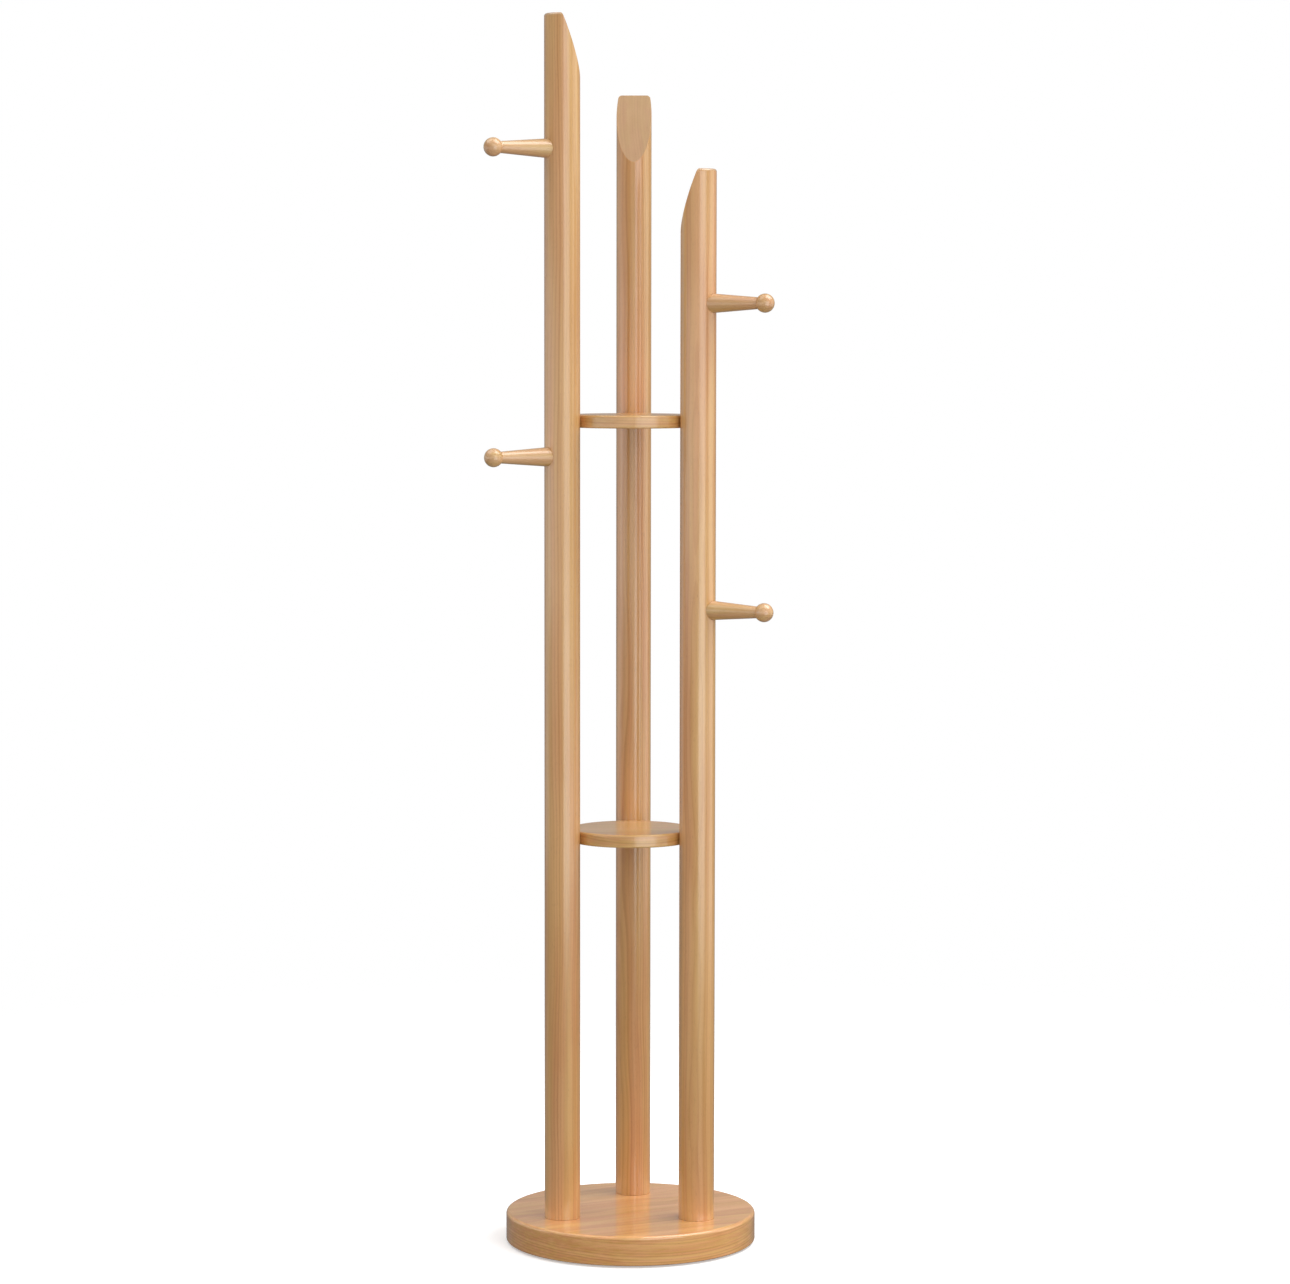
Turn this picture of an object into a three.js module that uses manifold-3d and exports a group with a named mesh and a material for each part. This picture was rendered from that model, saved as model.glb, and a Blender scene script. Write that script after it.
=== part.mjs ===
// Standing coat rack: three round poles on a round base, two round shelves held between the poles,
// and two ball-ended pegs on the outer side of each pole.
// Millimetres, +Z up. The origin is on the floor under the middle of the base, on the middle pad's underside.
// -Y is the front: two poles stand in front, left and right, and the third stands behind them.
import * as THREE from 'three';
import { mergeVertices } from 'three/addons/utils/BufferGeometryUtils.js';
import Module from 'manifold-3d';

const wasm = await Module();
wasm.setup();

// ---- Driving dimensions ----
const FIT_GAP = 0.3; // left all round a piece that sits in a hole or a notch

const BASE = { radius: 180, thickness: 42, topRound: 5, bottomChamfer: 2, segments: 72, roundSteps: 3 };
const PAD = { radius: 14, thickness: 3, ringRadius: 145, ringCount: 6, segments: 16 };

const POLE = { radius: 25.4, circleRadius: 111, footChamfer: 0.6, topChamfer: 1.2, segments: 36 };

// name: used in node names. angle: where the pole stands, seen from above. tip: its height over the floor.
const POLES = [
  { name: 'left', angle: 210, tip: 1758 },
  { name: 'rear', angle: 90, tip: 1654.3 },
  { name: 'right', angle: 330, tip: 1541.4 },
];

// The tip of each pole is sliced by a plane that faces the middle of the rack and leans outwards as it rises.
const SLICE = { height: 97, pastAxis: 11.5 };

const PEG = {
  dropsFromTip: { upper: 188.5, lower: 621.5 },
  rootRadius: 13.5,
  neckRadius: 8.3,
  ballRadius: 13.4,
  ballCentre: 108.3, // from the pole's axis
  taperStart: 27, // from the pole's axis
  seatDepth: 5, // how far the root is let into the pole
  segments: 16,
  ballSteps: 6,
};
const PEG_STUD = { radius: 3, inPole: 13, inPeg: 25, chamfer: 0.6, segments: 10 };
const PEG_INSERT = { radius: 5, bore: 3.3, length: 14, segments: 12 };

const SHELF = { radius: 87, thickness: 18.4, edgeRound: 1.6, segments: 60, roundSteps: 2 };
const SHELVES = [
  { name: 'lower', top: 601.3 },
  { name: 'upper', top: 1195.4 },
];
const CAM = { radius: 7.5, height: 12, fromEdge: 24, boltSlot: 4.2, segments: 20 };
const CAM_SLOT = { length: 9, width: 1.6, depth: 2 }; // the screwdriver cross
const CAM_BOLT = { threadRadius: 3.5, threadLength: 11, shankRadius: 2.4, headRadius: 3.4, headLength: 3,
  collarLength: 1.5, segments: 10 };

const FOOT_BOLT = { length: 60, shankRadius: 4, headRadius: 6.5, headHeight: 8, keyRadius: 3.5, keyDepth: 4.5,
  segments: 16 };
const WASHER = { radius: 10, bore: 4.4, thickness: 2, segments: 20 };
const COUNTERBORE = { radius: 11, depth: 11 };
const BOLT_HOLE_RADIUS = 4.5;
const FOOT_INSERT = { radius: 6.5, bore: 4.3, length: 30, segments: 16 };

// ---- Places that follow from them ----
const BASE_BOTTOM = PAD.thickness;
const BASE_TOP = BASE_BOTTOM + BASE.thickness;
const FOOT_Z = BASE_TOP + FIT_GAP; // the poles stand on the base
const SHELF_TOUCH = POLE.circleRadius - POLE.radius; // from the rack's middle to a pole's inner side
const INSERT_FACE = POLE.radius - PEG.seatDepth - FIT_GAP; // outer end of a peg insert, from the pole's axis
const PEG_ROOT = POLE.radius - PEG.seatDepth + FIT_GAP; // root end of a peg, from the pole's axis
const WASHER_TOP = BASE_BOTTOM + COUNTERBORE.depth;
const HEAD_TOP = WASHER_TOP - WASHER.thickness; // where a foot bolt's head bears on its washer

// ---- Materials ----
const MATERIALS = {
  pole: new THREE.MeshStandardMaterial({ color: 0xc9975f, roughness: 0.42, metalness: 0 }),
  board: new THREE.MeshStandardMaterial({ color: 0xc99560, roughness: 0.36, metalness: 0 }),
  peg: new THREE.MeshStandardMaterial({ color: 0xd3a266, roughness: 0.38, metalness: 0 }),
  steel: new THREE.MeshStandardMaterial({ color: 0xb9bcc0, roughness: 0.35, metalness: 1 }),
  brass: new THREE.MeshStandardMaterial({ color: 0xb8944e, roughness: 0.4, metalness: 1 }),
  zinc: new THREE.MeshStandardMaterial({ color: 0x9fa2a5, roughness: 0.5, metalness: 1 }),
  pad: new THREE.MeshStandardMaterial({ color: 0x2b2927, roughness: 0.9, metalness: 0 }),
};

// ---- Solids ----
function toSolid(geometry) {
  const bare = geometry.index ? geometry.toNonIndexed() : geometry.clone();
  for (const name of ['normal', 'uv']) bare.deleteAttribute(name);
  const merged = mergeVertices(bare, 1e-4);
  const triangles = [];
  for (let i = 0; i < merged.index.count; i += 3) {
    const [a, b, c] = [0, 1, 2].map((k) => merged.index.getX(i + k));
    if (a !== b && b !== c && c !== a) triangles.push(a, b, c);
  }
  return new wasm.Manifold(new wasm.Mesh({
    numProp: 3,
    vertProperties: merged.attributes.position.array,
    triVerts: new Uint32Array(triangles),
  }));
}

function toGeometry(solid) {
  const { vertProperties, triVerts } = solid.getMesh();
  const geometry = new THREE.BufferGeometry();
  geometry.setAttribute('position', new THREE.BufferAttribute(vertProperties, 3));
  geometry.setIndex(new THREE.BufferAttribute(triVerts, 1));
  geometry.computeVertexNormals();
  return geometry;
}

function piece(name, solid, material) {
  const mesh = new THREE.Mesh(toGeometry(solid), material);
  mesh.name = name;
  return mesh;
}

// A turned solid about +Z. profile: [radius, z] pairs that start and end on the axis, or close on themselves.
function turned(profile, segments) {
  const points = profile.map(([radius, z]) => new THREE.Vector2(radius, z));
  const geometry = new THREE.LatheGeometry(points, segments);
  geometry.rotateX(Math.PI / 2);
  return toSolid(geometry);
}

function cylinder(radius, from, to, segments) {
  return turned([[0, from], [radius, from], [radius, to], [0, to]], segments);
}

function tube(radius, bore, from, to, segments) {
  return turned([[bore, from], [radius, from], [radius, to], [bore, to], [bore, from]], segments);
}

// A turned solid laid along +X, its z turned into x.
function alongX(solid) {
  return solid.rotate([0, 90, 0]);
}

// A box by its lowest and highest corners.
function box(low, high) {
  const size = high.map((value, axis) => value - low[axis]);
  const geometry = new THREE.BoxGeometry(...size);
  geometry.translate(...low.map((value, axis) => value + size[axis] / 2));
  return toSolid(geometry);
}

// A quarter round from (radius, z) to (radius - size, z + rise): the profile points of an edge.
function roundedEdge(radius, z, size, rise, steps) {
  const points = [];
  for (let i = 0; i <= steps; i += 1) {
    const angle = (i / steps) * (Math.PI / 2);
    points.push([radius - size * (1 - Math.cos(angle)), z + rise * Math.sin(angle)]);
  }
  return points;
}

function cutAtPoles(solid, tool) {
  return POLES.reduce((left, { angle }) => left.subtract(tool.rotate([0, 0, angle])), solid);
}

// ---- Base ----
function makeBase() {
  const { radius, topRound, bottomChamfer, segments, roundSteps } = BASE;
  const disc = turned([
    [0, BASE_BOTTOM],
    [radius - bottomChamfer, BASE_BOTTOM],
    [radius, BASE_BOTTOM + bottomChamfer],
    ...roundedEdge(radius, BASE_TOP - topRound, topRound, topRound, roundSteps),
    [0, BASE_TOP],
  ], segments);
  const hole = cylinder(BOLT_HOLE_RADIUS, BASE_BOTTOM - 1, BASE_TOP + 1, FOOT_BOLT.segments);
  const counterbore = cylinder(COUNTERBORE.radius, BASE_BOTTOM - 1, WASHER_TOP, WASHER.segments);
  const tool = hole.add(counterbore).translate([POLE.circleRadius, 0, 0]);
  return piece('base_disc', cutAtPoles(disc, tool), MATERIALS.board);
}

function makePads() {
  const solid = cylinder(PAD.radius, 0, PAD.thickness, PAD.segments);
  const middle = piece('floor_pad_middle', solid, MATERIALS.pad);
  const pads = [middle];
  for (let i = 0; i < PAD.ringCount; i += 1) {
    const angle = ((i + 0.5) * 2 * Math.PI) / PAD.ringCount;
    const pad = piece(`floor_pad_${i + 1}`, solid, MATERIALS.pad);
    pad.position.set(PAD.ringRadius * Math.cos(angle), PAD.ringRadius * Math.sin(angle), 0);
    pads.push(pad);
  }
  return pads;
}

// ---- Pole: stands on z 0, with +X pointing away from the rack's middle ----
function makePole({ name, tip }) {
  const length = tip - FOOT_Z;
  const rod = turned([
    [0, 0],
    [POLE.radius - POLE.footChamfer, 0],
    [POLE.radius, POLE.footChamfer],
    [POLE.radius, length - POLE.topChamfer],
    [POLE.radius - POLE.topChamfer, length],
    [0, length],
  ], POLE.segments);
  // The slice takes away the inner side: all of it at the tip as far as pastAxis, none of it SLICE.height lower.
  const lean = Math.atan2(SLICE.pastAxis + POLE.radius, SLICE.height);
  const reach = SLICE.height * 1.5;
  const slice = box([-reach, -POLE.radius - 1, -reach], [0, POLE.radius + 1, reach])
    .rotate([0, THREE.MathUtils.radToDeg(lean), 0])
    .translate([SLICE.pastAxis, 0, length]);
  const footHole = cylinder(FOOT_INSERT.radius + FIT_GAP, -1, FOOT_INSERT.length + FIT_GAP,
    FOOT_INSERT.segments);
  let pole = rod.subtract(slice).subtract(footHole);
  const seat = cylinder(PEG.rootRadius + FIT_GAP, POLE.radius - PEG.seatDepth, POLE.radius + 2, PEG.segments);
  const insertHole = cylinder(PEG_INSERT.radius + FIT_GAP, INSERT_FACE - PEG_INSERT.length - FIT_GAP,
    POLE.radius, PEG_INSERT.segments);
  for (const drop of Object.values(PEG.dropsFromTip)) {
    pole = pole.subtract(alongX(seat.add(insertHole)).translate([0, 0, length - drop]));
  }
  const camHole = cylinder(CAM_BOLT.threadRadius + FIT_GAP, -POLE.radius - 1,
    -POLE.radius + CAM_BOLT.threadLength + 1, CAM_BOLT.segments);
  for (const { top } of SHELVES) {
    pole = pole.subtract(alongX(camHole).translate([0, 0, top - SHELF.thickness / 2 - FOOT_Z]));
  }
  const mesh = piece(`pole_${name}`, pole, MATERIALS.pole);
  mesh.position.set(POLE.circleRadius, 0, FOOT_Z);
  return mesh;
}

// ---- Fasteners at a pole's foot ----
function makeFootFasteners({ name }) {
  const { length, shankRadius, headRadius, headHeight, keyRadius, keyDepth, segments } = FOOT_BOLT;
  const headBottom = HEAD_TOP - headHeight;
  const end = HEAD_TOP + length;
  const bolt = turned([
    [0, headBottom],
    [headRadius - 0.8, headBottom],
    [headRadius, headBottom + 0.8],
    [headRadius, HEAD_TOP],
    [shankRadius, HEAD_TOP],
    [shankRadius, end - 1],
    [shankRadius - 1, end],
    [0, end],
  ], segments).subtract(cylinder(keyRadius, headBottom - 1, headBottom + keyDepth, 6));
  const washer = tube(WASHER.radius, WASHER.bore, HEAD_TOP, WASHER_TOP, WASHER.segments);
  const insert = tube(FOOT_INSERT.radius, FOOT_INSERT.bore, FOOT_Z, FOOT_Z + FOOT_INSERT.length,
    FOOT_INSERT.segments);
  const pieces = [
    piece(`foot_bolt_${name}`, bolt, MATERIALS.steel),
    piece(`foot_washer_${name}`, washer, MATERIALS.steel),
    piece(`foot_insert_${name}`, insert, MATERIALS.brass),
  ];
  for (const mesh of pieces) mesh.position.x = POLE.circleRadius;
  return pieces;
}

// ---- Peg, its stud and the insert that the stud screws into: along +X from the pole's axis ----
function pegSolid() {
  const { rootRadius, neckRadius, ballRadius, ballCentre, taperStart, segments, ballSteps } = PEG;
  const neckAngle = Math.PI - Math.asin(neckRadius / ballRadius);
  const ball = [];
  for (let i = 0; i <= ballSteps; i += 1) {
    const angle = neckAngle * (1 - i / ballSteps);
    ball.push([ballRadius * Math.sin(angle), ballCentre + ballRadius * Math.cos(angle)]);
  }
  const body = turned([[0, PEG_ROOT], [rootRadius, PEG_ROOT], [rootRadius, taperStart], ...ball], segments);
  const hole = cylinder(PEG_STUD.radius + FIT_GAP, 0, PEG_ROOT + PEG_STUD.inPeg + FIT_GAP, PEG_STUD.segments);
  return alongX(body.subtract(hole));
}

function studSolid() {
  const { radius, inPole, inPeg, chamfer, segments } = PEG_STUD;
  const [from, to] = [INSERT_FACE - inPole, PEG_ROOT + inPeg];
  return alongX(turned([
    [0, from], [radius - chamfer, from], [radius, from + chamfer],
    [radius, to - chamfer], [radius - chamfer, to], [0, to],
  ], segments));
}

function makePegs({ name, tip }) {
  const insert = alongX(tube(PEG_INSERT.radius, PEG_INSERT.bore, INSERT_FACE - PEG_INSERT.length, INSERT_FACE,
    PEG_INSERT.segments));
  return Object.entries(PEG.dropsFromTip).flatMap(([level, drop]) => {
    const pieces = [
      piece(`peg_${name}_${level}`, pegSolid(), MATERIALS.peg),
      piece(`peg_stud_${name}_${level}`, studSolid(), MATERIALS.steel),
      piece(`peg_insert_${name}_${level}`, insert, MATERIALS.brass),
    ];
    for (const mesh of pieces) mesh.position.set(POLE.circleRadius, 0, tip - drop);
    return pieces;
  });
}

// ---- Shelves, held to each pole by a cam bolt and a cam lock ----
const CAM_CENTRE = SHELF_TOUCH - CAM.fromEdge; // from the rack's middle

function makeShelf({ name, top }) {
  const bottom = top - SHELF.thickness;
  const { radius, edgeRound, segments, roundSteps } = SHELF;
  const lowerEdge = roundedEdge(radius, bottom + edgeRound, edgeRound, -edgeRound, roundSteps).reverse();
  const upperEdge = roundedEdge(radius, top - edgeRound, edgeRound, edgeRound, roundSteps);
  const disc = turned([[0, bottom], ...lowerEdge, ...upperEdge, [0, top]], segments);
  const notch = cylinder(POLE.radius + FIT_GAP, bottom - 1, top + 1, POLE.segments)
    .translate([POLE.circleRadius, 0, 0]);
  const pocket = cylinder(CAM.radius + FIT_GAP, bottom - 1, bottom + CAM.height + FIT_GAP, CAM.segments)
    .translate([CAM_CENTRE, 0, 0]);
  const boltHole = alongX(cylinder(CAM_BOLT.headRadius + FIT_GAP, CAM_CENTRE, SHELF_TOUCH + 2, CAM_BOLT.segments))
    .translate([0, 0, top - SHELF.thickness / 2]);
  const shelf = cutAtPoles(disc, notch.add(pocket).add(boltHole));
  return piece(`shelf_${name}`, shelf, MATERIALS.board);
}

function camSolid() {
  const { radius, height, boltSlot, segments } = CAM;
  const axis = SHELF.thickness / 2;
  const { length, width, depth } = CAM_SLOT;
  return cylinder(radius, 0, height, segments)
    .subtract(box([-boltSlot, -boltSlot, axis - boltSlot], [radius + 1, boltSlot, height + 1]))
    .subtract(box([-length / 2, -width / 2, -1], [length / 2, width / 2, depth]))
    .subtract(box([-width / 2, -length / 2, -1], [width / 2, length / 2, depth]));
}

function camBoltSolid() {
  const { threadRadius, threadLength, shankRadius, headRadius, headLength, collarLength, segments } = CAM_BOLT;
  const headEnd = -CAM.fromEdge + 1;
  return alongX(turned([
    [0, headEnd],
    [headRadius, headEnd],
    [headRadius, headEnd + headLength],
    [shankRadius, headEnd + headLength + 1],
    [shankRadius, -collarLength],
    [threadRadius, -collarLength],
    [threadRadius, threadLength - 2],
    [threadRadius - 2, threadLength],
    [0, threadLength],
  ], segments));
}

function makeShelfFasteners({ name: poleName }) {
  return SHELVES.flatMap(({ name, top }) => {
    const lock = piece(`cam_lock_${name}_${poleName}`, camSolid(), MATERIALS.zinc);
    lock.position.set(CAM_CENTRE, 0, top - SHELF.thickness);
    const bolt = piece(`cam_bolt_${name}_${poleName}`, camBoltSolid(), MATERIALS.steel);
    bolt.position.set(SHELF_TOUCH, 0, top - SHELF.thickness / 2);
    return [lock, bolt];
  });
}

// ---- The whole rack ----
const rack = new THREE.Group();
rack.add(makeBase(), ...makePads(), ...SHELVES.map(makeShelf));
for (const spec of POLES) {
  const spoke = new THREE.Group();
  spoke.rotation.z = THREE.MathUtils.degToRad(spec.angle);
  spoke.add(makePole(spec), ...makeFootFasteners(spec), ...makePegs(spec), ...makeShelfFasteners(spec));
  rack.add(spoke);
}

export default rack;
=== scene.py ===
import math

import bmesh
import bpy
from mathutils import Matrix, Vector


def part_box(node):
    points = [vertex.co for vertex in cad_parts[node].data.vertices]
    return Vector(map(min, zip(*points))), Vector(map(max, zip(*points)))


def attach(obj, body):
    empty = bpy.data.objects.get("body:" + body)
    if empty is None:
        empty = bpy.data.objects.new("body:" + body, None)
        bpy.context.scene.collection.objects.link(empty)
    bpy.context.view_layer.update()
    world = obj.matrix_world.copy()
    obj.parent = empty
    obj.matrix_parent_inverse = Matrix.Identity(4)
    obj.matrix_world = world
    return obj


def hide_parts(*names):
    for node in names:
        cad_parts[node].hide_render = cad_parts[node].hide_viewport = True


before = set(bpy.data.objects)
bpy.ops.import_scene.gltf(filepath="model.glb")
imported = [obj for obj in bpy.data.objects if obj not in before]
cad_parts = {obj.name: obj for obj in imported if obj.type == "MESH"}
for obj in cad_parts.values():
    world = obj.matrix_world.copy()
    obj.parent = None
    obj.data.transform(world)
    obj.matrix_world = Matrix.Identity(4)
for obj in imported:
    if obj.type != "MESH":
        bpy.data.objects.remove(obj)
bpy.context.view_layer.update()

# ---- What the frame says, in metres ----
POLE_NAMES = ("left", "rear", "right")
PEG_LEVELS = ("upper", "lower")
SHELF_NAMES = ("lower", "upper")
PAD_NAMES = ["floor_pad_middle"] + [f"floor_pad_{i}" for i in range(1, 7)]


def middle(node):
    low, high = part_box(node)
    return (low + high) / 2


def height_of(node):
    low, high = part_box(node)
    return high.z - low.z


BASE_LOW, BASE_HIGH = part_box("base_disc")
BASE_RADIUS = BASE_HIGH.x
BASE_THICKNESS = height_of("base_disc")
POLE_CIRCLE = middle("pole_rear").y
POLE_RADIUS = (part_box("pole_rear")[1].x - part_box("pole_rear")[0].x) / 2

# ---- Sizes of the visible shapes, in metres ----
LOOK_GAP = 0.00015  # the hairline where one piece sits in another
PAST = 0.001  # how far a cutter reaches past the surface it goes through
BOARD_EDGE = 0.0004  # how far the edges of holes in the boards are rounded

BASE = {"top_round": 0.005, "bottom_round": 0.002, "counterbore_radius": 0.011, "counterbore_depth": 0.011,
        "bolt_hole_radius": 0.0045}

# A pole's tip is sliced from past its axis at the top to its inner side at this height lower down.
SLICE = {"height": 0.097, "past_axis": 0.0115, "edge_round": 0.0005}
TIP_ROUND = 0.004
FOOT = {"edge": 0.0004, "bore_radius": 0.0068, "bore_depth": 0.031}
CAM_BOLT_BORE = {"radius": 0.0038, "depth": 0.012}

# Places along a peg are distances from its pole's axis.
PEG = {"root": 0.0207, "root_radius": 0.0135, "root_edge": 0.0004, "taper_start": 0.027,
       "neck_radius": 0.0083, "ball_radius": 0.0134, "ball_centre": 0.1083, "stud_radius": 0.0033,
       "stud_depth": 0.0255}
TAPER_SHARES = (0.25, 0.5, 0.75, 0.985)  # where the taper has a ring, as shares of its length
NECK_CREASE = {"wider": 0.00015, "further": 0.0001}  # the small step from the neck to the ball
PEG_SEAT_DEPTH = 0.005
INSERT_BORE = {"radius": 0.0053, "depth": 0.0196}  # depth from the pole's surface

SHELF = {"top_round": 0.0035, "bottom_round": 0.002, "bolt_hole_radius": 0.0037}
CAM = {"radius": 0.0075, "height": 0.012, "edge": 0.0005, "clearance": 0.0003, "from_edge": 0.024,
       "cross_length": 0.0095, "cross_width": 0.0018, "cross_depth": 0.0024, "bolt_slot": 0.0042,
       "bevel": 0.00025}
CAM_FROM_MIDDLE = POLE_CIRCLE - POLE_RADIUS - CAM["from_edge"]

FOOT_BOLT = {"head_radius": 0.0065, "head_height": 0.008, "head_round": 0.0008, "head_chamfer": 0.0003,
             "shank_radius": 0.004, "end_chamfer": 0.001, "key_radius": 0.0035, "key_depth": 0.0045,
             "key_point": 0.006, "bevel": 0.0002}
FOOT_WASHER = {"radius": 0.010, "bore_radius": 0.0044, "edge": 0.0003}
PAD = {"edge_round": 0.0008, "dish_radius": 0.005, "dish_slope": 0.001, "dish_depth": 0.0006,
       "groove_radius": 0.009, "groove_half_width": 0.0005, "groove_depth": 0.0005}

# How many sides a turned shape has, and how many steps a rounded edge.
SIDES = {"board": 256, "notch": 192, "pole": 128, "small": 96, "hole": 64, "thin_hole": 48, "hexagon": 6}
ROUND_STEPS = {"ball": 22, "finest": 8, "fine": 6, "medium": 5, "coarse": 4, "slice": 3, "bevel": 2}
BEVEL_ANGLE = 50  # degrees; sharper edges are rounded
SHARP_ANGLE = 35  # degrees; sharper edges shade sharp
FLAT_WEIGHT = 80  # how strongly large flats keep their own shading

# ---- Wood: colours, and where each piece was cut from its log ----
WOOD_LIGHT = (0.78, 0.455, 0.185, 1)
WOOD_DARK = (0.575, 0.25, 0.068, 1)
WOOD_PINK = (0.72, 0.335, 0.15, 1)
WOOD_GOLD = (0.645, 0.375, 0.095, 1)
SLICE_WOOD_AND_PAINTED_LIGHT = (0.512, 0.35, 0.213, 1)  # where a cut runs across the grain: its plainer wood, with painted light that makes the up-facing slice paler and greyer
WOOD_PORE = (0.22, 0.085, 0.025, 1)
WOOD_LATE = (0.42, 0.16, 0.045, 1)  # the dark end of a year's growth
BASE_TINT = (1.2, 1.16, 1.1)
SHELF_TINT = (0.99, 1.03, 0.98)
PEG_TINT = (0.98, 1.09, 1.27)

RING = 0.0042  # the growth of one year
PEG_RING = 0.0034
POLE_PITHS = {"left": (-0.05, 0.035), "rear": (0.015, -0.07), "right": (0.03, -0.055)}
PEG_PITH_AWAY = 0.03  # in a direction that each peg's seed gives
SHELF_PITH = (1.0, 0.01)
BASE_PITH = (1.6, 0.02)
BASE_GRAIN_TURN = 30  # degrees from X
SHELF_GRAIN_TURN = 12
BASE_SEED = 3
POLE_SEED = 11  # the first of the poles; the others count on
SHELF_SEED = 21
PEG_SEED = 31
SEED_STEP = 2.37  # metres along the grain from one seed to the next

# How many features a metre of wood holds across the grain, and the share of that along it.
STRIP = 62  # a strip of one tone
STREAK = 105.4  # a thinner strip, darker or lighter
WANDER, WANDER_ALONG = 11, 0.22  # the slow drift of the rings
FIGURE, FIGURE_ALONG = 26, 0.2  # the soft waves that catch the light
FIBRE, FIBRE_ALONG = 900, 0.02
PORE, PORE_ALONG = 2600, 0.045

# How much each thing darkens or lightens the wood round its middle tone.
MIDDLE_TONE = 0.45
TONES = {"end_grain": 0.35, "streak": 0.5, "figure": 0.4, "late": 0.2, "fibre": 0.4}
CONTRAST = (0.3, 0.7)  # the span of a noise that is drawn out to its full range
HUE_SHARE = 0.4
# how much of the slice colour covers the slice; that colour holds painted light
SLICE_TONE_AND_LIGHT_SHARE = 0.6
PORE_SHARE = 0.35

LACQUER = {"roughness": 0.34, "fibre_roughness": 0.12, "specular": 0.55, "coat_index": 1.6}
FIBRE_RELIEF = {"wood": 0.12, "coat": 0.03, "depth": 0.0002}
FIGURE_RELIEF = {"wood": 0.25, "coat": 0.12, "depth": 0.0012}

# ---- Studio ----
# How bright the light from all round is, from above and from below.
WORLD_ABOVE = 0.35
WORLD_BELOW = 0.2
WORLD_BLEND = 0.15  # how far above and below level the two run into each other
WORLD_COLOUR = (0.97, 0.98, 1, 1)
FLOOR_HALF = 6  # half of its width
FLOOR_FADE = (0.6, 2.4)  # distances from the middle where the floor starts and ends fading
FLOOR_GLOW = 0.35  # what keeps it white where little light falls
# Name: (degrees to the right of the front, distance, height, the height it looks at, (width, height),
# brightness).
LIGHTS = {
    "key": (30, 2.6, 1.125, 1.125, (1.9, 2.15), 2.0),
    "low_right": (40, 2.6, 0.375, 0.375, (3.4, 0.65), 0.75),
    "right": (92, 2.6, 1.125, 1.125, (2.1, 2.15), 1.0),
    "front_left": (-15, 2.6, 1.05, 1.05, (1.8, 0.7), 1.0),
    "left": (-65, 2.6, 1.05, 1.05, (3.2, 0.7), 1.2),
    "back_left": (-108, 2.6, 0.95, 0.95, (2.2, 1.5), 0.5),
    "high_front": (0, 2.6, 2.7, 2.7, (0.92, 1.0), 0.9),
    "over_right": (90, 2.2, 5.0, 0.9, (3.6, 3.6), 4.4),
    "over_left": (-90, 2.2, 5.0, 0.9, (3.6, 3.6), 1.4),
}

CAMERA_PLACE = (0.1741, -5.6341, 1.312)
CAMERA_TURN = 1.574  # degrees to the left of +Y
CAMERA_ROLL = 0.077  # degrees anticlockwise
CAMERA_TILT = 4.49  # degrees down
CAMERA_LENS = 110.04  # millimetres
CAMERA_SENSOR = 36  # millimetres wide
CAMERA_CLIP_END = 50


# ---- Places ----
def spoke_angle(pole):
    """The direction, seen from above, in which a pole stands from the rack's middle."""
    place = middle(f"pole_{pole}")
    return math.atan2(place.y, place.x)


def spoke(pole, distance=0.0, height=0.0):
    """A place at a distance from the rack's middle towards a pole, with +X pointing outwards."""
    return (Matrix.Translation((0, 0, height)) @ Matrix.Rotation(spoke_angle(pole), 4, "Z")
            @ Matrix.Translation((distance, 0, 0)))


def outwards(height):
    """Turns a shape made along +Z so that it points along +X, at a height."""
    return Matrix.Translation((0, 0, height)) @ Matrix.Rotation(math.pi / 2, 4, "Y")


# ---- Mesh helpers ----
def lathe(profile, segments):
    """A closed bmesh turned about +Z. The profile's (radius, z) points start and end on the axis, or close
    on themselves."""
    mesh = bmesh.new()
    turns = [2 * math.pi * i / segments for i in range(segments)]
    rings = []
    for radius, z in profile:
        if radius <= 0:
            rings.append([mesh.verts.new((0, 0, z))])
        else:
            rings.append([mesh.verts.new((radius * math.cos(a), radius * math.sin(a), z)) for a in turns])
    if profile[0] == profile[-1]:
        for vertex in rings.pop():
            mesh.verts.remove(vertex)
        rings.append(rings[0])
    for near, far in zip(rings, rings[1:]):
        for i in range(segments):
            j = (i + 1) % segments
            corners = (near[i % len(near)], near[j % len(near)], far[j % len(far)], far[i % len(far)])
            mesh.faces.new(dict.fromkeys(corners))
    bmesh.ops.recalc_face_normals(mesh, faces=mesh.faces)
    return mesh


def quarter(centre_radius, centre_z, size, start, steps=ROUND_STEPS["fine"]):
    """Profile points of a quarter circle. start is its first direction, in degrees from the outward one."""
    turns = [math.radians(start + 90 * i / steps) for i in range(steps + 1)]
    return [(centre_radius + size * math.cos(a), centre_z + size * math.sin(a)) for a in turns]


def cylinder(radius, low, high, segments):
    return lathe([(0, low), (radius, low), (radius, high), (0, high)], segments)


def box_mesh(size, centre):
    mesh = bmesh.new()
    bmesh.ops.create_cube(mesh, size=1, matrix=Matrix.Translation(centre) @ Matrix.Diagonal((*size, 1)))
    return mesh


def to_object(name, mesh, matrix=Matrix.Identity(4)):
    data = bpy.data.meshes.new(name)
    mesh.to_mesh(data)
    mesh.free()
    made = bpy.data.objects.new(name, data)
    bpy.context.scene.collection.objects.link(made)
    made.matrix_world = matrix
    return made


def apply_modifiers(piece):
    shown = piece.evaluated_get(bpy.context.evaluated_depsgraph_get())
    old = piece.data
    piece.data = bpy.data.meshes.new_from_object(shown)
    piece.data.name = piece.name
    piece.modifiers.clear()
    bpy.data.meshes.remove(old)


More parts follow.
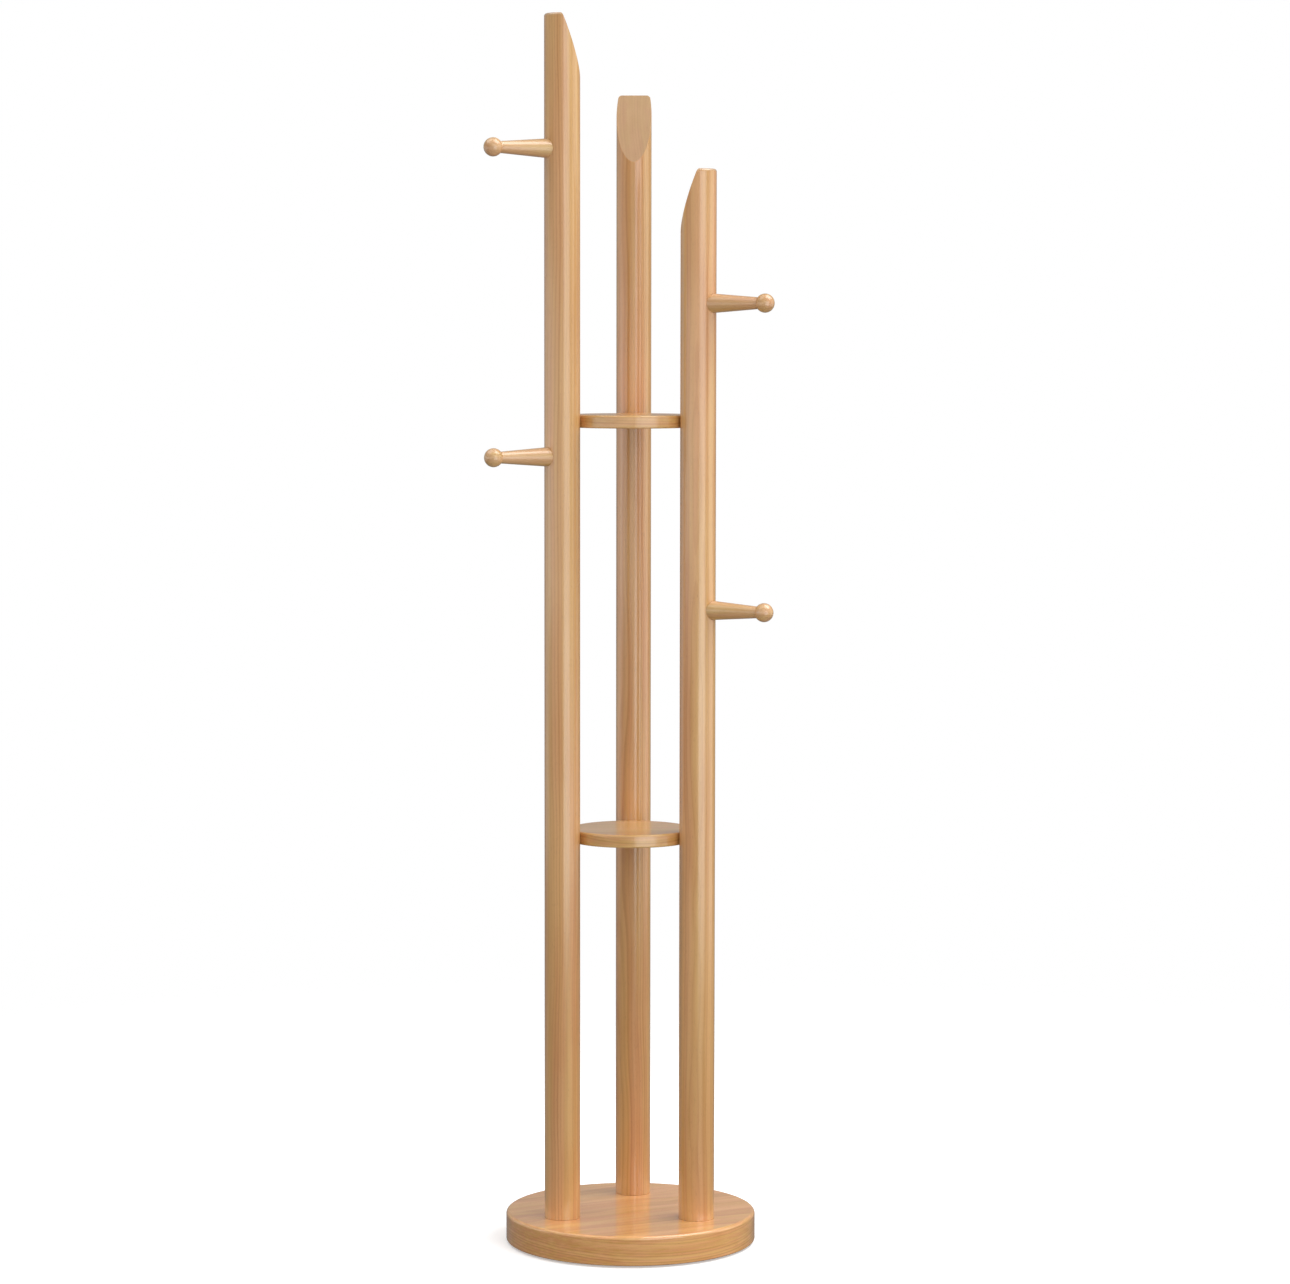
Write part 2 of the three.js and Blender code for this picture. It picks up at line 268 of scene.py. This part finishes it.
def cut(piece, cutters):
    """Takes the cutters out of the piece. Each cutter is (bmesh, matrix in the piece's own space)."""
    bpy.context.view_layer.update()
    made = [to_object("cutter", mesh, piece.matrix_world @ matrix) for mesh, matrix in cutters]
    for cutter in made:
        modifier = piece.modifiers.new("cut", "BOOLEAN")
        modifier.operation = "DIFFERENCE"
        modifier.solver = "EXACT"
        modifier.object = cutter
    bpy.context.view_layer.update()
    apply_modifiers(piece)
    for cutter in made:
        data = cutter.data
        bpy.data.objects.remove(cutter)
        bpy.data.meshes.remove(data)


def soften(piece, width=0.0):
    """Rounds the sharp edges by width, and shades the piece smooth with its flats kept flat."""
    if width:
        bevel = piece.modifiers.new("edge", "BEVEL")
        bevel.width = width
        bevel.segments = ROUND_STEPS["bevel"]
        bevel.limit_method = "ANGLE"
        bevel.angle_limit = math.radians(BEVEL_ANGLE)
        bevel.miter_outer = "MITER_ARC"
        bevel.use_clamp_overlap = True
        apply_modifiers(piece)
    piece.data.shade_smooth()
    piece.data.set_sharp_from_angle(angle=math.radians(SHARP_ANGLE))
    normals = piece.modifiers.new("normals", "WEIGHTED_NORMAL")
    normals.keep_sharp = True
    normals.weight = FLAT_WEIGHT
    apply_modifiers(piece)


def finish_piece(piece, material, node):
    piece.data.materials.clear()
    piece.data.materials.append(material)
    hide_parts(node)
    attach(piece, "root")
    return piece


# ---- Material helpers ----
class Tree:
    """Builds one material's nodes."""

    def __init__(self, name):
        self.material = bpy.data.materials.new(name)
        self.material.use_nodes = True
        self.tree = self.material.node_tree
        self.shader = self.tree.nodes["Principled BSDF"]

    def node(self, kind, inputs=None, **settings):
        made = self.tree.nodes.new("ShaderNode" + kind)
        for key, value in settings.items():
            setattr(made, key, value)
        for key, value in (inputs or {}).items():
            self.put(value, made.inputs[key])
        return made

    def put(self, value, socket):
        if isinstance(value, bpy.types.NodeSocket):
            self.tree.links.new(value, socket)
        else:
            socket.default_value = value

    def set(self, **values):
        """Sets the shader's own sockets. Underscores stand for spaces."""
        for key, value in values.items():
            self.put(value, self.shader.inputs[key.replace("_", " ")])

    def math(self, operation, first, second=0.0, third=0.0):
        return self.node("Math", {0: first, 1: second, 2: third}, operation=operation).outputs[0]

    def vector(self, operation, first, second=(0, 0, 0)):
        return self.node("VectorMath", {0: first, 1: second}, operation=operation).outputs[0]

    def scaled(self, vector, factors):
        return self.vector("MULTIPLY", vector, factors)

    def length(self, vector):
        return self.node("VectorMath", {0: vector}, operation="LENGTH").outputs["Value"]

    def noise(self, vector, scale, detail=2.0, roughness=0.5, output="Fac"):
        inputs = {"Vector": vector, "Scale": scale, "Detail": detail, "Roughness": roughness}
        return self.node("TexNoise", inputs).outputs[output]

    def spread(self, value, low, high, to_low=0.0, to_high=1.0):
        """Maps low..high to to_low..to_high, smoothly and with the ends held."""
        inputs = {"Value": value, "From Min": low, "From Max": high, "To Min": to_low, "To Max": to_high}
        return self.node("MapRange", inputs, interpolation_type="SMOOTHSTEP").outputs["Result"]

    def mix(self, factor, first, second):
        made = self.node("Mix", {"Factor": factor}, data_type="RGBA")
        self.put(first, made.inputs[6])
        self.put(second, made.inputs[7])
        return made.outputs[2]

    def bump(self, height, strength, distance, normal=None):
        inputs = {"Height": height, "Strength": strength, "Distance": distance}
        if normal is not None:
            inputs["Normal"] = normal
        return self.node("Bump", inputs).outputs[0]


# ---- Wood ----
def along_grain(tree, source, turn):
    """A texture coordinate with Z along the grain. A board's grain lies turn degrees from X; an upright
    piece has no turn."""
    vector = tree.node("TexCoord").outputs[source]
    if turn is None:
        return vector
    rotation = (0, math.pi / 2, math.radians(turn))
    rotate = tree.node("VectorRotate", {"Vector": vector}, rotation_type="EULER_XYZ", invert=True)
    tree.put(rotation, rotate.inputs["Rotation"])
    return rotate.outputs[0]


def growth(tree, place, pith, ring, drift):
    """The growth rings round the pith: a value that changes with the years, and the late part of each."""
    wander = tree.noise(tree.scaled(place, (1, 1, WANDER_ALONG)), WANDER, 2, 0.5, "Color")
    wander = tree.scaled(tree.vector("SUBTRACT", wander, (0.5, 0.5, 0.5)), (drift, drift, 0))
    log = tree.vector("SUBTRACT", tree.vector("ADD", place, wander), (*pith, 0))
    rings = tree.math("DIVIDE", tree.length(tree.scaled(log, (1, 1, 0))), ring)
    slow = tree.node("CombineXYZ", {"X": tree.math("MULTIPLY", rings, 0.55)}).outputs[0]
    season = tree.math("FRACT", rings)
    late = tree.math("MULTIPLY", tree.spread(season, 0.35, 0.95), tree.spread(season, 1.0, 0.96))
    return tree.noise(slow, 1, 3, 0.6), late


def lacquer(tree, figure, fibre, pore, lengthwise, relief, coat_roughness):
    """A satin surface under a glossy coat. Both follow the figure's waves and, lengthwise, the fibres."""
    rough = tree.math("MULTIPLY_ADD", fibre, LACQUER["fibre_roughness"], LACQUER["roughness"])
    rough = tree.math("MULTIPLY_ADD", pore, LACQUER["fibre_roughness"], rough)
    height = tree.math("MULTIPLY", tree.math("SUBTRACT", fibre, pore), lengthwise)
    normals = {}
    for layer in ("wood", "coat"):
        fine = tree.bump(height, FIBRE_RELIEF[layer] * relief, FIBRE_RELIEF["depth"])
        normals[layer] = tree.bump(figure, FIGURE_RELIEF[layer], FIGURE_RELIEF["depth"], fine)
    tree.set(Roughness=rough, Normal=normals["wood"], Specular_IOR_Level=LACQUER["specular"])
    tree.set(Coat_Weight=1.0, Coat_Roughness=coat_roughness, Coat_IOR=LACQUER["coat_index"],
             Coat_Normal=normals["coat"])


def wood(name, seed, pith, turn=None, ring=RING, stretch=40, layers=1.0, drift=0.022, year_tone=0.6,
         late_tone=0.0, tint=None, sliced=False, relief=1.0, coat_roughness=0.18):
    """Lacquered light hardwood cut from a log whose middle runs along the grain at pith, in the grain's own
    axes. Its tone strips are stretch times longer than wide, and layers times thinner than wide. drift is
    how far the growth rings wander, year_tone how much one year's wood differs from the next, and late_tone
    how much the end of some years' growth darkens. A sliced piece has plainer wood on its slice, with
    painted light that makes the up-facing slice paler and greyer.
    relief is how strongly the fibres stand out."""
    tree = Tree(name)
    place = tree.vector("ADD", along_grain(tree, "Object", turn), (0, 0, SEED_STEP * seed))
    facing = tree.node("SeparateXYZ", {0: along_grain(tree, "Normal", turn)}).outputs["Z"]
    across = tree.math("ABSOLUTE", facing)
    end_grain = tree.spread(across, 0.45, 1.0)

    year, late = growth(tree, place, pith, ring, drift)
    streak = tree.noise(tree.scaled(place, (layers, 1, 1 / stretch)), STREAK, 3, 0.55)
    hue = tree.noise(tree.scaled(place, (layers, 1, 1 / stretch)), STRIP, 2, 0.5)
    figure = tree.noise(tree.scaled(place, (layers, 1, FIGURE_ALONG)), FIGURE, 2, 0.5)
    fibre = tree.noise(tree.scaled(place, (1, 1, FIBRE_ALONG)), FIBRE, 3, 0.65)
    pore = tree.spread(tree.noise(tree.scaled(place, (1, 1, PORE_ALONG)), PORE, 1, 0.5), 0.66, 0.74)

    darkness = tree.math("MULTIPLY_ADD", end_grain, TONES["end_grain"], MIDDLE_TONE)
    for part, amount in ((tree.spread(year, *CONTRAST), year_tone),
                         (tree.spread(streak, *CONTRAST), TONES["streak"]),
                         (tree.spread(figure, *CONTRAST), TONES["figure"]),
                         (late, TONES["late"]), (fibre, TONES["fibre"])):
        darkness = tree.math("MULTIPLY_ADD", tree.math("SUBTRACT", part, 0.5), amount, darkness)

    colour = tree.mix(darkness, WOOD_LIGHT, WOOD_DARK)
    hues = tree.mix(tree.spread(hue, 0.35, 0.65), WOOD_GOLD, WOOD_PINK)
    colour = tree.mix(HUE_SHARE, colour, hues)
    if late_tone:
        line = tree.math("MULTIPLY", late, tree.spread(year, 0.42, 0.62, 0, late_tone))
        colour = tree.mix(line, colour, WOOD_LATE)
    # Painted light: the up-facing slice is made paler and greyer, over the plainer wood of the cut.
    if sliced:
        colour = tree.mix(tree.spread(across, 0.15, 0.34, 0, SLICE_TONE_AND_LIGHT_SHARE), colour, SLICE_WOOD_AND_PAINTED_LIGHT)
    colour = tree.mix(tree.math("MULTIPLY", pore, PORE_SHARE), colour, WOOD_PORE)
    if tint:
        colour = tree.scaled(colour, tint)
    tree.set(Base_Color=colour)
    lacquer(tree, figure, fibre, pore, tree.spread(across, 0.34, 0.1), relief, coat_roughness)
    return tree.material


# ---- Metal and rubber ----
def metal(name, light, dark, roughness, marks, along=(1, 1, 1)):
    """Plated or machined metal: uneven tone, and fine marks, so many to a metre, drawn out by along."""
    tree = Tree(name)
    place = tree.node("TexCoord").outputs["Object"]
    blotch = tree.noise(place, 180, 3, 0.6)
    scratch = tree.noise(tree.scaled(place, along), marks, 3, 0.7)
    shade = tree.math("MULTIPLY_ADD", scratch, 0.5, tree.math("MULTIPLY", blotch, 0.5))
    colour = tree.mix(tree.spread(shade, 0.3, 0.7), dark, light)
    rough = tree.math("MULTIPLY_ADD", tree.math("SUBTRACT", blotch, 0.5), 0.25, roughness)
    tree.set(Base_Color=colour, Metallic=1.0, Roughness=rough, Normal=tree.bump(scratch, 0.2, 0.0001))
    return tree.material


def rubber(name, clean, dusty):
    tree = Tree(name)
    place = tree.node("TexCoord").outputs["Object"]
    grit = tree.noise(place, 2200, 3, 0.7)
    dust = tree.spread(tree.noise(place, 120, 4, 0.6), 0.45, 0.75)
    colour = tree.mix(tree.math("MULTIPLY", dust, 0.5), clean, dusty)
    tree.set(Base_Color=colour, Roughness=tree.math("MULTIPLY_ADD", grit, 0.2, 0.7),
             Normal=tree.bump(grit, 0.5, 0.0002))
    return tree.material


# ---- Base ----
def make_base():
    low, high = BASE["bottom_round"], BASE["top_round"]
    profile = [(0, 0), *quarter(BASE_RADIUS - low, low, low, -90, ROUND_STEPS["coarse"]),
               *quarter(BASE_RADIUS - high, BASE_THICKNESS - high, high, 0, ROUND_STEPS["finest"]),
               (0, BASE_THICKNESS)]
    base = to_object("base", lathe(profile, SIDES["board"]), Matrix.Translation((0, 0, BASE_LOW.z)))
    step, deep, bore = BASE["counterbore_radius"], BASE["counterbore_depth"], BASE["bolt_hole_radius"]
    hole = [(0, -PAST), (step, -PAST), (step, deep), (bore, deep), (bore, BASE_THICKNESS + PAST),
            (0, BASE_THICKNESS + PAST)]
    cut(base, [(lathe(hole, SIDES["hole"]), spoke(pole, POLE_CIRCLE)) for pole in POLE_NAMES])
    soften(base, BOARD_EDGE)
    material = wood("base_wood", BASE_SEED, BASE_PITH, BASE_GRAIN_TURN, stretch=12, layers=4, drift=0.006,
                    year_tone=1.2, late_tone=0.7, tint=BASE_TINT, coat_roughness=0.1)
    return finish_piece(base, material, "base_disc")


# ---- Poles ----
def slice_tip(mesh, length):
    """Cuts the slanted slice at the tip, and rounds its edge."""
    lean = math.atan2(SLICE["past_axis"] + POLE_RADIUS, SLICE["height"])
    normal = Vector((-math.cos(lean), 0, math.sin(lean)))
    everything = mesh.verts[:] + mesh.edges[:] + mesh.faces[:]
    point = (SLICE["past_axis"], 0, length)
    halves = bmesh.ops.bisect_plane(mesh, geom=everything, dist=1e-7, plane_co=point, plane_no=normal,
                                    clear_outer=True)
    rim = [e for e in halves["geom_cut"] if isinstance(e, bmesh.types.BMEdge)]
    slice_faces = bmesh.ops.holes_fill(mesh, edges=rim)["faces"]
    # The flat at the very tip is a fan, which becomes one face.
    level = [f for f in mesh.faces if f.normal.z > 0.999]
    bmesh.ops.dissolve_faces(mesh, faces=level)
    bmesh.ops.bevel(mesh, geom=[e for f in slice_faces for e in f.edges], offset=SLICE["edge_round"],
                    segments=ROUND_STEPS["slice"], profile=0.5, affect="EDGES", clamp_overlap=False)


def pole_mesh(length):
    bore, deep, edge = FOOT["bore_radius"], FOOT["bore_depth"], FOOT["edge"]
    profile = [(0, deep), (bore, deep), (bore, 0), (POLE_RADIUS - edge, 0), (POLE_RADIUS, edge),
               *quarter(POLE_RADIUS - TIP_ROUND, length - TIP_ROUND, TIP_ROUND, 0), (0, length)]
    mesh = lathe(profile, SIDES["pole"])
    slice_tip(mesh, length)
    return mesh


def peg_hole():
    """The seat for a peg's root, and the bore behind it for the threaded insert."""
    seat, insert = PEG["root_radius"] + LOOK_GAP, INSERT_BORE["radius"]
    floor, end = POLE_RADIUS - PEG_SEAT_DEPTH, POLE_RADIUS - INSERT_BORE["depth"]
    return lathe([(0, end), (insert, end), (insert, floor), (seat, floor), (seat, POLE_RADIUS + PAST),
                  (0, POLE_RADIUS + PAST)], SIDES["small"])


def cam_bolt_hole():
    inner_side = -POLE_RADIUS
    return cylinder(CAM_BOLT_BORE["radius"], inner_side - PAST, inner_side + CAM_BOLT_BORE["depth"],
                    SIDES["thin_hole"])


def make_pole(name, seed):
    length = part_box(f"pole_{name}")[1].z - BASE_HIGH.z
    pole = to_object(f"{name}_pole", pole_mesh(length), spoke(name, POLE_CIRCLE, BASE_HIGH.z))
    peg_heights = [middle(f"peg_{name}_{level}").z - BASE_HIGH.z for level in PEG_LEVELS]
    bolt_heights = [middle(f"cam_bolt_{shelf}_{name}").z - BASE_HIGH.z for shelf in SHELF_NAMES]
    cut(pole, [(peg_hole(), outwards(height)) for height in peg_heights]
        + [(cam_bolt_hole(), outwards(height)) for height in bolt_heights])
    soften(pole)
    material = wood(f"{name}_pole_wood", seed, POLE_PITHS[name], late_tone=0.3, sliced=True)
    return finish_piece(pole, material, f"pole_{name}")


# ---- Pegs ----
def peg_profile():
    root, radius, neck, start = PEG["root"], PEG["root_radius"], PEG["neck_radius"], PEG["taper_start"]
    stud, deep, edge = PEG["stud_radius"], root + PEG["stud_depth"], PEG["root_edge"]
    ball, centre = PEG["ball_radius"], PEG["ball_centre"]
    neck_turn = math.pi - math.asin(neck / ball)
    neck_z = centre + ball * math.cos(neck_turn)
    profile = [(0, deep), (stud, deep), (stud, root), (radius - edge, root), (radius, root + edge),
               (radius, start)]
    for share in TAPER_SHARES:
        profile.append((radius + (neck - radius) * share, start + (neck_z - start) * share))
    profile.append((neck + NECK_CREASE["wider"], neck_z + NECK_CREASE["further"]))
    steps = ROUND_STEPS["ball"]
    for i in range(1, steps):
        turn = neck_turn * (1 - i / steps)
        profile.append((ball * math.sin(turn), centre + ball * math.cos(turn)))
    return profile + [(0, centre + ball)]


def make_peg(pole, level, seed):
    node = f"peg_{pole}_{level}"
    place = spoke(pole, POLE_CIRCLE) @ outwards(middle(node).z)
    peg = to_object(f"{pole}_{level}_peg", lathe(peg_profile(), SIDES["small"]), place)
    soften(peg)
    pith = (PEG_PITH_AWAY * math.cos(seed), PEG_PITH_AWAY * math.sin(seed))
    material = wood(f"{node}_wood", seed, pith, ring=PEG_RING, stretch=12, tint=PEG_TINT, relief=0.0,
                    coat_roughness=0.25)
    return finish_piece(peg, material, node)


# ---- Shelves ----
def shelf_cutters(pole, height):
    """Takes out the scallop round a pole, the pocket for its cam lock, and the hole for its cam bolt."""
    scallop = cylinder(POLE_RADIUS + LOOK_GAP, -PAST, height + PAST, SIDES["notch"])
    gap = CAM["clearance"]
    pocket = cylinder(CAM["radius"] + gap, -PAST, CAM["height"] + gap, SIDES["hole"])
    hole = cylinder(SHELF["bolt_hole_radius"], CAM_FROM_MIDDLE, POLE_CIRCLE - POLE_RADIUS + PAST,
                    SIDES["thin_hole"])
    return [(scallop, spoke(pole, POLE_CIRCLE)), (pocket, spoke(pole, CAM_FROM_MIDDLE)),
            (hole, spoke(pole) @ outwards(height / 2))]


def make_shelf(name, seed):
    low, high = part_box(f"shelf_{name}")
    radius, height = high.x, height_of(f"shelf_{name}")
    under, over = SHELF["bottom_round"], SHELF["top_round"]
    profile = [(0, 0), *quarter(radius - under, under, under, -90, ROUND_STEPS["medium"]),
               *quarter(radius - over, height - over, over, 0), (0, height)]
    shelf = to_object(f"{name}_shelf", lathe(profile, SIDES["board"]), Matrix.Translation((0, 0, low.z)))
    cut(shelf, [cutter for pole in POLE_NAMES for cutter in shelf_cutters(pole, height)])
    soften(shelf, BOARD_EDGE)
    material = wood(f"{name}_shelf_wood", seed, SHELF_PITH, SHELF_GRAIN_TURN, stretch=20, layers=3,
                    drift=0.01, late_tone=0.3, tint=SHELF_TINT, coat_roughness=0.2)
    return finish_piece(shelf, material, f"shelf_{name}")


# ---- Fasteners and pads that show from below ----
def standing_on(node):
    """The place in the middle of a frame node's box, at its lowest height."""
    return Matrix.Translation((*middle(node).xy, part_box(node)[0].z))


def make_foot_bolt(pole, material):
    node = f"foot_bolt_{pole}"
    top = height_of(node)
    head, end, corner = FOOT_BOLT["head_radius"], FOOT_BOLT["head_height"], FOOT_BOLT["head_round"]
    shank, tip, chamfer = FOOT_BOLT["shank_radius"], FOOT_BOLT["end_chamfer"], FOOT_BOLT["head_chamfer"]
    profile = [(0, 0), *quarter(head - corner, corner, corner, -90, ROUND_STEPS["coarse"]),
               (head, end - chamfer), (head - chamfer, end), (shank, end), (shank, top - tip),
               (shank - tip, top), (0, top)]
    bolt = to_object(f"{pole}_foot_bolt", lathe(profile, SIDES["small"]), standing_on(node))
    key = FOOT_BOLT["key_radius"]
    socket = lathe([(0, -PAST), (key, -PAST), (key, FOOT_BOLT["key_depth"]), (0, FOOT_BOLT["key_point"])],
                   SIDES["hexagon"])
    cut(bolt, [(socket, Matrix.Identity(4))])
    soften(bolt, FOOT_BOLT["bevel"])
    return finish_piece(bolt, material, node)


def make_foot_washer(pole, material):
    node = f"foot_washer_{pole}"
    outer, bore, edge = FOOT_WASHER["radius"], FOOT_WASHER["bore_radius"], FOOT_WASHER["edge"]
    thickness = height_of(node)
    profile = [(bore, 0), (outer - edge, 0), (outer, edge), (outer, thickness - edge),
               (outer - edge, thickness), (bore, thickness), (bore, 0)]
    washer = to_object(f"{pole}_foot_washer", lathe(profile, SIDES["small"]), standing_on(node))
    soften(washer)
    return finish_piece(washer, material, node)


def make_cam_lock(shelf, pole, material):
    """A round lock with a cross for a screwdriver under it, and a slot for the bolt's head in its side."""
    node = f"cam_lock_{shelf}_{pole}"
    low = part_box(node)[0].z
    radius, height, edge = CAM["radius"], CAM["height"], CAM["edge"]
    profile = [(0, 0), (radius - edge, 0), (radius, edge), (radius, height - edge), (radius - edge, height),
               (0, height)]
    place = spoke(pole, CAM_FROM_MIDDLE, low)
    lock = to_object(f"{shelf}_{pole}_cam_lock", lathe(profile, SIDES["small"]), place)
    long, wide, deep = CAM["cross_length"], CAM["cross_width"], CAM["cross_depth"]
    slot, outside = CAM["bolt_slot"], radius + PAST
    slot_low = middle(f"cam_bolt_{shelf}_{pole}").z - low - slot
    bars = [box_mesh((long, wide, 2 * deep), (0, 0, 0)), box_mesh((wide, long, 2 * deep), (0, 0, 0)),
            box_mesh((outside + slot, 2 * slot, height), ((outside - slot) / 2, 0, slot_low + height / 2))]
    cut(lock, [(bar, Matrix.Identity(4)) for bar in bars])
    soften(lock, CAM["bevel"])
    return finish_piece(lock, material, node)


def make_pad(node, material):
    """A round pad with a shallow dish and a groove in its underside."""
    low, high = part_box(node)
    radius, thickness, edge = (high.x - low.x) / 2, height_of(node), PAD["edge_round"]
    dish, groove, half = PAD["dish_radius"], PAD["groove_radius"], PAD["groove_half_width"]
    profile = [(0, PAD["dish_depth"]), (dish - PAD["dish_slope"], PAD["dish_depth"]), (dish, 0),
               (groove - half, 0), (groove, PAD["groove_depth"]), (groove + half, 0),
               *quarter(radius - edge, edge, edge, -90, ROUND_STEPS["medium"]), (radius, thickness),
               (0, thickness)]
    name = node.replace("floor_pad", "rubber_pad")
    pad = to_object(name, lathe(profile, SIDES["small"]), standing_on(node))
    soften(pad)
    return finish_piece(pad, material, node)


# ---- The pieces that stay as the frame has them ----
def paint_frame_pieces(steel, brass):
    for name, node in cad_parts.items():
        if name.startswith(("peg_stud_", "cam_bolt_")):
            node.material_slots[0].material = steel
        if name.startswith(("peg_insert_", "foot_insert_")):
            node.material_slots[0].material = brass


# ---- Floor, light and camera ----
def make_floor():
    """A white floor that fades out far from the rack, and shows from above only. It throws no light back up
    and isn't mirrored in the lacquer."""
    mesh = bmesh.new()
    bmesh.ops.create_grid(mesh, x_segments=1, y_segments=1, size=FLOOR_HALF)
    floor = to_object("floor", mesh)
    tree = Tree("floor_white")
    place = tree.node("TexCoord").outputs["Object"]
    grain = tree.noise(place, 30, 3, 0.5)
    tree.set(Base_Color=tree.mix(grain, (0.90, 0.90, 0.90, 1), (0.93, 0.93, 0.93, 1)), Roughness=0.9,
             Specular_IOR_Level=0.1, Emission_Color=(1, 1, 1, 1), Emission_Strength=FLOOR_GLOW)
    clear = tree.node("BsdfTransparent")
    behind = tree.node("NewGeometry").outputs["Backfacing"]
    share = tree.math("MAXIMUM", tree.spread(tree.length(place), *FLOOR_FADE), behind)
    both = tree.node("MixShader", {0: share, 1: tree.shader.outputs[0], 2: clear.outputs[0]})
    tree.put(both.outputs[0], tree.tree.nodes["Material Output"].inputs["Surface"])
    floor.data.materials.append(tree.material)
    floor.visible_diffuse = False
    floor.visible_glossy = False


def make_world():
    """White behind everything, and a grey-white light from all round that is dimmer from below."""
    world = bpy.data.worlds.new("studio")
    bpy.context.scene.world = world
    world.use_nodes = True
    nodes, links = world.node_tree.nodes, world.node_tree.links
    shown, light = nodes["Background"], nodes.new("ShaderNodeBackground")
    shown.inputs["Color"].default_value = (1, 1, 1, 1)
    shown.inputs["Strength"].default_value = 1.0
    light.inputs["Color"].default_value = WORLD_COLOUR
    place, height = nodes.new("ShaderNodeTexCoord"), nodes.new("ShaderNodeSeparateXYZ")
    links.new(place.outputs["Generated"], height.inputs[0])
    strength = nodes.new("ShaderNodeMapRange")
    strength.interpolation_type = "SMOOTHSTEP"
    for key, value in (("From Min", -WORLD_BLEND), ("From Max", WORLD_BLEND), ("To Min", WORLD_BELOW),
                       ("To Max", WORLD_ABOVE)):
        strength.inputs[key].default_value = value
    links.new(height.outputs["Z"], strength.inputs["Value"])
    links.new(strength.outputs["Result"], light.inputs["Strength"])
    path, both = nodes.new("ShaderNodeLightPath"), nodes.new("ShaderNodeMixShader")
    links.new(path.outputs["Is Camera Ray"], both.inputs[0])
    links.new(light.outputs[0], both.inputs[1])
    links.new(shown.outputs[0], both.inputs[2])
    links.new(both.outputs[0], nodes["World Output"].inputs["Surface"])


def make_light(name, turn, distance, height, aim, size, brightness):
    """A soft box that looks at the rack's axis. Its face is as bright as brightness says at any size."""
    light = bpy.data.lights.new(name, "AREA")
    light.shape = "RECTANGLE"
    light.size, light.size_y = size
    light.energy = math.pi * size[0] * size[1] * brightness
    made = bpy.data.objects.new(name, light)
    bpy.context.scene.collection.objects.link(made)
    angle = math.radians(turn)
    made.location = (distance * math.sin(angle), -distance * math.cos(angle), height)
    made.rotation_euler = (made.location - Vector((0, 0, aim))).to_track_quat("Z", "Y").to_euler()


def make_camera():
    camera = bpy.data.cameras.new("camera")
    camera.lens = CAMERA_LENS
    camera.sensor_width = CAMERA_SENSOR
    camera.clip_end = CAMERA_CLIP_END
    made = bpy.data.objects.new("camera", camera)
    bpy.context.scene.collection.objects.link(made)
    made.location = CAMERA_PLACE
    turns = (90 - CAMERA_TILT, -CAMERA_ROLL, CAMERA_TURN)
    made.rotation_euler = [math.radians(turn) for turn in turns]
    bpy.context.scene.camera = made


# ---- The whole scene ----
bpy.context.scene.view_settings.view_transform = "Standard"
make_camera()
make_world()
for light_name, settings in LIGHTS.items():
    make_light(light_name, *settings)
make_floor()

make_base()
for number, pole_name in enumerate(POLE_NAMES):
    make_pole(pole_name, POLE_SEED + number)
    for step, peg_level in enumerate(PEG_LEVELS):
        make_peg(pole_name, peg_level, PEG_SEED + len(PEG_LEVELS) * number + step)
for number, shelf_name in enumerate(SHELF_NAMES):
    make_shelf(shelf_name, SHELF_SEED + number)

steel_look = metal("zinc_plated_steel", light=(0.62, 0.63, 0.65, 1), dark=(0.42, 0.43, 0.45, 1),
                   roughness=0.34, marks=900, along=(1, 1, 0.2))
zinc_look = metal("cast_zinc", light=(0.50, 0.50, 0.51, 1), dark=(0.34, 0.34, 0.35, 1), roughness=0.5,
                  marks=1500)
brass_look = metal("brass", light=(0.72, 0.52, 0.22, 1), dark=(0.50, 0.34, 0.13, 1), roughness=0.32,
                   marks=900, along=(0.2, 0.2, 1))
rubber_look = rubber("black_rubber", clean=(0.022, 0.021, 0.02, 1), dusty=(0.07, 0.066, 0.06, 1))
for pole_name in POLE_NAMES:
    make_foot_bolt(pole_name, steel_look)
    make_foot_washer(pole_name, steel_look)
    for shelf_name in SHELF_NAMES:
        make_cam_lock(shelf_name, pole_name, zinc_look)
for pad_name in PAD_NAMES:
    make_pad(pad_name, rubber_look)
paint_frame_pieces(steel_look, brass_look)
